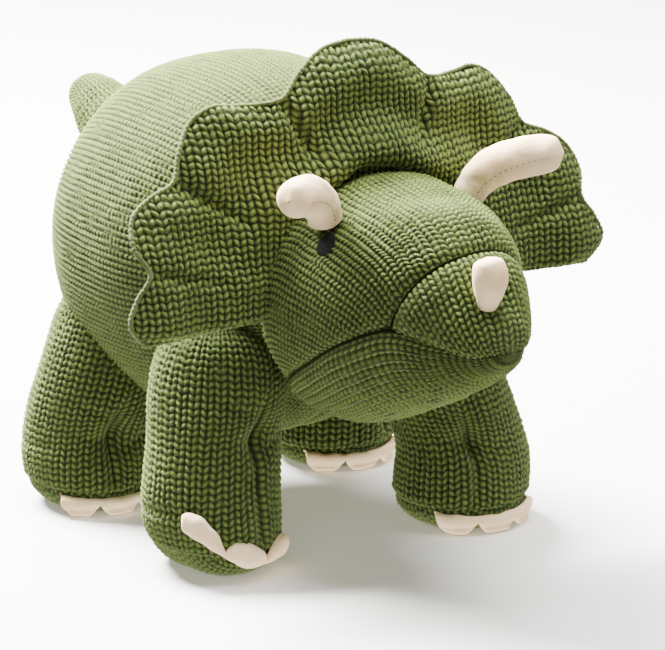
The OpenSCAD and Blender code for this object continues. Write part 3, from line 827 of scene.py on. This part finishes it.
def frill_grid(rows, cols, side):
    """One layer of the frill, from its root to its rim; side is 1 for the front, -1 for the back."""
    t = np.linspace(-FRILL_END, FRILL_END, cols)[None] * np.ones((rows, 1))
    s = np.linspace(0, 1, rows)[:, None] * np.ones((1, cols))
    b = np.abs(t)
    gathered = np.max([np.exp(-(np.sqrt((b - at) ** 2 + 2) - 1.4) / DIP_WIDE) for at in DIPS], axis=0)
    out = curve(RIM_AT, RIM_OUT, b)
    up = curve(RIM_AT, RIM_HEIGHT, b) - FRILL_Z
    a = np.arctan2(out, up)
    rim_reach = np.hypot(out, up)
    reach = FRILL_INNER + (rim_reach - FRILL_INNER) * s
    forward = curve(RIM_AT, RIM_FORWARD, b)
    f = FRILL_ROOT + (forward - FRILL_ROOT) * s
    ends = ease((FRILL_END - b) / 5)
    top = 1 - ease(b / TOP_REACH)
    if side > 0:
        # A fat roll overhangs the head, then a shallow valley, then the stuffed lobes.
        start, crest = 0.05 + 0.09 * top, 0.27
        rolled = np.clip((s - start) / (crest - start), 0, 1)
        high_roll = 4.4 + 6.6 * top
        outer_side = 0.22 + 0.78 * hump(s - crest, 0.19)
        roll = high_roll * np.where(s < crest, np.sqrt(1 - (1 - rolled) ** 2), outer_side)
        root = -3.5 * top * np.clip(1 - s / start, 0, 1) ** 1.5
        lobe = 4.8 * hump(s - 0.80, 0.19) * (1 - 0.9 * gathered)
        puff = roll + lobe + root
    else:
        puff = 2.4 + 4.2 * np.sin(math.pi * s) * (1 - 0.55 * gathered)
        puff = puff + 3 * top * hump(s, 0.12)
    puff = puff * np.sqrt(np.clip(1 - s**9, 0, 1)) * (0.3 + 0.7 * ends) + 0.35
    # Lines sewn inwards from each dip.
    for at in DIPS:
        gap = (b - at) * (0.55 + 0.45 * s)
        puff -= SEWN_DEEP * hump(gap, 2.3) * ease((s - 0.30) / 0.3) * np.clip(puff / SEWN_DEEP, 0, 1)
    x = np.sign(t) * reach * np.sin(a)
    z = FRILL_Z + reach * np.cos(a) + HEAD_TILT * x
    return np.stack([x, shoulder_y - (f + side * puff), z], -1), s, t


# The frill's front and back skins.
rim_cols = count_for(400, 0.62 * COARSE)
for side, label, material in ((1, "front", GREEN), (-1, "back", SHADE)):
    p, s, _ = frill_grid(count_for(60), rim_cols, side)
    uv = np.stack([p[..., 0] / WALE, p[..., 2] / COURSE], -1)
    way = np.broadcast_to(np.array([0, -side, 0.0]), p.shape)
    layer = knitted(f"frill_{label}_knit", p, uv, material, yarn=1.5,
                    inward=0.5 * hump(1 - s, 0.03), outward=way, seed=31 + side, lump=0.55, lump_size=26)
    replaced = [f"frill_{label}_cover"] + (["frill_padding"] if side > 0 else [])
    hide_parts(*replaced)
    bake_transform(layer)

front = frill_grid(3, 420, 1)[0]
back = frill_grid(3, 420, -1)[0]
rim = (front[-1] + back[-1]) / 2
foot_front = frill_grid(40, 3, 1)[0]
foot_back = frill_grid(40, 3, -1)[0]
first = ((foot_front + foot_back) / 2)[:, 0]
last = ((foot_front + foot_back) / 2)[::-1, -1]
RIM_STEPS = 900
path = along(np.concatenate([first[4:-1], rim, last[1:-4]]), RIM_STEPS)
fray = 0.85 + 0.13 * np.sin(np.arange(RIM_STEPS) * 1.7)
fray = fray + 0.1 * np.random.default_rng(5).normal(size=RIM_STEPS)
edge = thread("frill_rim_yarn", path, fray, EDGE, sides=9, twist=0.5)
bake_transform(edge)


# ------------------------------------------------------------------ horns
HAND_STITCHES = 15


def bezier(points, t):
    a, b, c, d = (np.asarray(v, float) for v in points)
    t = t[..., None]
    return (1 - t) ** 3 * a + 3 * t * (1 - t) ** 2 * b + 3 * t**2 * (1 - t) * c + t**3 * d


def horn(name, points, stations, shares, radius, squash, creases, seed, node, body, sewn=None):
    """A felt horn along a curve. A crease is its place along the horn, its angle, depth and slope."""
    t = 1 - (1 - np.linspace(0, 1, int(110 / COARSE))) ** 1.5
    path = bezier(points, t)
    ways = np.gradient(path, axis=0)
    ways /= np.linalg.norm(ways, axis=1, keepdims=True)
    side = np.cross([0, 1, 0.2], ways)
    side /= np.linalg.norm(side, axis=1, keepdims=True)
    up = np.cross(ways, side)
    a = np.linspace(0, 2 * math.pi, int(96 / COARSE) + 1)[None]
    r = np.maximum(radius * curve(stations, shares, t), 0.15)[:, None]
    r = r * np.ones_like(a)
    t = t[:, None]
    for at, angle, deep, slope in creases:
        near = apart(a, angle)
        r -= deep * hump(t - at - slope * near, 0.045) * hump(near, 0.9)
    x = r * np.cos(a)
    y = r * np.sin(a) * squash
    p = path[:, None] + x[..., None] * side[:, None] + y[..., None] * up[:, None]
    outward = p - path[:, None]
    size = np.maximum(np.linalg.norm(outward, axis=-1, keepdims=True), 1e-6)
    p = p + outward / size * (0.22 * lumps(p, 9, seed))[..., None] * np.clip(size / 3, 0, 1)
    p[:, -1] = p[:, 0]
    piece = smooth_piece(name, p, PEACH, closed=True, outward=outward)
    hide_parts(f"{node}_cover", f"{node}_stuffing")
    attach(piece, body)
    if sewn is None:
        return
    # Small hand stitches along the underside seam.
    marks = []
    column = int(sewn / (2 * math.pi) * (p.shape[1] - 1))
    seam_line = along(p[6:int(len(p) * 0.86), column], 4 * HAND_STITCHES)
    for k in range(HAND_STITCHES - 1):
        bit = seam_line[4 * k:4 * k + 3]
        bulge = bit - path[np.argmin(np.linalg.norm(path - bit[1], axis=1))]
        bit = bit + bulge / np.linalg.norm(bulge, axis=1, keepdims=True) * 0.12
        marks.append(thread(f"mark{k}", along(bit, 5), [0.08, 0.22, 0.26, 0.22, 0.08], STITCH, sides=6))
    seam = joined(f"{name}_stitches", marks)
    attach(seam, body)


BROW_RADIUS, NOSE_RADIUS = 7.5, 6.2
# Shares of a horn's length, then of its radius for the brow horns and for the nose horn.
BROW_AT = [0, 0.12, 0.3, 0.6, 0.85, 0.95, 1]
BROW_SHARE = [0.80, 0.86, 0.96, 1, 0.92, 0.70, 0.05]
NOSE_SHARE = [0.62, 0.68, 0.86, 1, 0.90, 0.64, 0.05]
for label, sign, seed in (("left", 1, 41), ("right", -1, 47)):
    points = [[sign * x, shoulder_y - f, z + HEAD_TILT * sign * x] for x, f, z in
              ((30, 38, 134), (34, 40.5, 144.5), (44.5, 48.5, 148.3), (57, 58, 148.6))]
    horn(f"brow_horn_{label}_felt", points, BROW_AT, BROW_SHARE, BROW_RADIUS, 0.96,
         [(0.20, 4.4, 0.7, 0.05), (0.10, 3.6, 0.5, 0.0), (0.33, 5.2, 0.4, -0.04)], seed,
         f"brow_horn_{label}", f"brow_horn_{label}", sewn=4.5 if sign > 0 else 4.9)
points = [[x, shoulder_y - f, z] for x, f, z in
          ((-3.6, 99, 112.5), (-3.9, 102.5, 118), (-4.4, 103, 123), (-5, 101.5, 130))]
horn("nose_horn_felt", points, BROW_AT, NOSE_SHARE, NOSE_RADIUS, 0.95, [(0.15, 4.7, 0.5, 0.05)], 53,
     "nose_horn", "nose_horn")

# ------------------------------------------------------------------ tail
TAIL_BASE = 19
TAIL_TILT = math.radians(22)
TAIL_LENGTH = 62.5
TAIL_HIGH = 114.0
# Shares of the tail's length, then of its radius.
TAIL_AT = [0, 0.3, 0.6, 0.82, 0.94, 1]
TAIL_SHARE = [0.99, 0.90, 0.69, 0.50, 0.34, 0.0]
tail_way = np.array([0, math.cos(TAIL_TILT), math.sin(TAIL_TILT)])
tail_up = np.array([0, -math.sin(TAIL_TILT), math.cos(TAIL_TILT)])
tail_hub = np.array([0, high("tail_cover")[1] - TAIL_LENGTH * tail_way[1], TAIL_HIGH])
t = np.linspace(0, 1, 300)
line = np.stack([TAIL_BASE * np.maximum(curve(TAIL_AT, TAIL_SHARE, t), 0.02), TAIL_LENGTH * t], -1)
# The skin starts inside the body.
line = np.concatenate([[[15, -10], [17.5, -5]], line])
line = along(line, count_for(length_of(line), 0.7 * COARSE))
cols = count_for(120, 0.7 * COARSE)
turn = np.linspace(0, 2 * math.pi, cols)
ring = np.sin(turn)[:, None] * np.array([1, 0, 0.0]) - np.cos(turn)[:, None] * tail_up
p = tail_hub + line[:, None, :1] * ring[None] + line[:, None, 1:2] * tail_way
run = distances(line)
uv = np.stack(np.broadcast_arrays(run[:, None] / WALE, turn[None] / (2 * math.pi) * 40), -1)
seam = 1.2 * (hump(turn[None], 0.12) + hump(turn[None] - 2 * math.pi, 0.12)) * np.ones((len(line), 1))
tail = knitted("tail_knit", p, uv, GREEN, yarn=1.5, inward=seam, closed=True,
               outward=p - (tail_hub + line[:, None, 1:2] * tail_way), seed=61, lump=0.6, lump_size=30)
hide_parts("tail_cover", "tail_stuffing")
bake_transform(tail)

# ------------------------------------------------------------------ floor, light and camera
# Everything in this section is in metres.
FLAT_TO, WALL_AT, WALL_HIGH = 2.2, 4.0, 3.5
SPOKES, RINGS = 64, 24
GLOW_NEAR, GLOW_FAR = 0.30, 5.0     # how strongly the paper glows under the toy and far from it
GLOW_FROM, GLOW_TO = 1.1, 2.4       # the distances between which the glow grows
WORLD_LIGHT = 0.11
# A round sheet of paper that is flat round the toy and curves up far away on every side.
radii = np.linspace(FLAT_TO, WALL_AT, RINGS)
rise = WALL_HIGH * (1 - np.cos(np.linspace(0, math.pi / 2, RINGS)))
spokes = np.linspace(0, 2 * math.pi, SPOKES + 1)[:-1]
verts = [(r * math.cos(a), r * math.sin(a), z) for r, z in zip(radii, rise) for a in spokes]
faces = []
for i in range(RINGS - 1):
    for j in range(SPOKES):
        after = (j + 1) % SPOKES
        faces.append((i * SPOKES + j, (i + 1) * SPOKES + j, (i + 1) * SPOKES + after, i * SPOKES + after))
faces.append(tuple(range(SPOKES)))
floor_mesh = bpy.data.meshes.new("floor")
floor_mesh.from_pydata(verts, [], faces)
floor = bpy.data.objects.new("floor", floor_mesh)
bpy.context.scene.collection.objects.link(floor)
paper = Nodes("pale_paper")
where = paper.node("ShaderNodeTexCoord").outputs["Object"]
grain = paper.noise(where, 400.0, 3.0, 0.6)
white = paper.ramp(grain, [(0.3, (0.66, 0.66, 0.66)), (0.7, (0.70, 0.70, 0.70))])
paper.finish(white, 0.9, paper.bump(grain, 0.0001, 0.2), 0.0, (1, 1, 1), 0.1)
# The paper glows: faintly near the toy, so that its shadow stays pale, and strongly far away,
# where it fills the background.
paper.shader.inputs["Emission Color"].default_value = (1.0, 0.93, 0.74, 1)
away = paper.node("ShaderNodeVectorMath", operation="LENGTH")
paper.link(where, away.inputs[0])
glow = paper.node("ShaderNodeMapRange", interpolation_type="SMOOTHSTEP")
paper.link(away.outputs["Value"], glow.inputs["Value"])
# Sockets 1 to 4 are the distances it starts and ends at, then the two strengths.
for socket, value in enumerate((GLOW_FROM, GLOW_TO, GLOW_NEAR, GLOW_FAR), start=1):
    glow.inputs[socket].default_value = value
paper.link(glow.outputs[0], paper.shader.inputs["Emission Strength"])
# The sheet is seen from its inner side only, so that it never hides the toy.
through = paper.node("ShaderNodeMixShader")
paper.link(paper.node("ShaderNodeNewGeometry").outputs["Backfacing"], through.inputs[0])
paper.link(paper.shader.outputs[0], through.inputs[1])
paper.link(paper.node("ShaderNodeBsdfTransparent").outputs[0], through.inputs[2])
paper.link(through.outputs[0], paper.out.inputs[0])
floor.data.materials.append(paper.material)
# The paper keeps its own brightness off the toy, so that the toy's sides stay deep in tone.
floor.visible_diffuse = False
floor.visible_shadow = False

world = bpy.data.worlds.new("studio")
bpy.context.scene.world = world
world.use_nodes = True
world.node_tree.nodes["Background"].inputs[0].default_value = (1.0, 1.0, 1.0, 1)
world.node_tree.nodes["Background"].inputs[1].default_value = WORLD_LIGHT

AZIMUTH, ELEVATION = math.radians(-32), math.radians(15.2)
CAMERA_AWAY = 1.5
AIM = Vector((0, shoulder_y * MM, 0))
back = Vector((math.sin(AZIMUTH) * math.cos(ELEVATION), -math.cos(AZIMUTH) * math.cos(ELEVATION),
               math.sin(ELEVATION)))
right = Vector((math.cos(AZIMUTH), math.sin(AZIMUTH), 0))
up = back.cross(right)


def softbox(name, place, target, size, power, colour):
    data = bpy.data.lights.new(name, "AREA")
    data.shape = "DISK"
    data.size = size
    data.energy = power
    data.color = colour
    lamp = bpy.data.objects.new(name, data)
    lamp.location = place
    lamp.rotation_euler = (Vector(target) - Vector(place)).to_track_quat("-Z", "Y").to_euler()
    bpy.context.scene.collection.objects.link(lamp)
    return lamp


centre = Vector((0, 0, 0.09))
softbox("key", centre - right * 0.60 - back * 0.58 + Vector((0, 0, 1.2)), centre, 0.75, 370,
        (1.0, 0.985, 0.95))
softbox("top", centre + right * 0.2 + Vector((0, 0, 1.4)), centre, 1.0, 75, (1.0, 1.0, 1.0))
softbox("front", centre + back * 1.6 - right * 0.3 + Vector((0, 0, 0.6)), centre, 1.2, 7, (1.0, 0.99, 0.97))
# A weak lamp that lies on the paper under the toy's front, in place of a reflector, lights its
# chin, belly and toes.
REFLECTOR_Y = -0.16
reflector = softbox("reflector", Vector((0, REFLECTOR_Y, 0.0005)), Vector((0, REFLECTOR_Y, 1)), 0.7, 2.8,
                    (1.0, 0.98, 0.92))
reflector.visible_camera = False

camera_data = bpy.data.cameras.new("camera")
camera = bpy.data.objects.new("camera", camera_data)
bpy.context.scene.collection.objects.link(camera)
FRAME_WIDE = 665
PIXELS_PER_METRE = 2717
SENSOR_WIDE = 36
SLIDE_LEFT, SLIDE_UP = 0.0029, 0.0791   # how far the camera is moved sideways to frame the toy
camera_data.sensor_width = SENSOR_WIDE
camera_data.sensor_fit = "HORIZONTAL"
camera_data.lens = SENSOR_WIDE * PIXELS_PER_METRE * CAMERA_AWAY / FRAME_WIDE
camera_data.clip_end = 50
camera.location = AIM + back * CAMERA_AWAY - right * SLIDE_LEFT + up * SLIDE_UP
camera.rotation_euler = Matrix((right, up, back)).transposed().to_euler()
bpy.context.scene.camera = camera
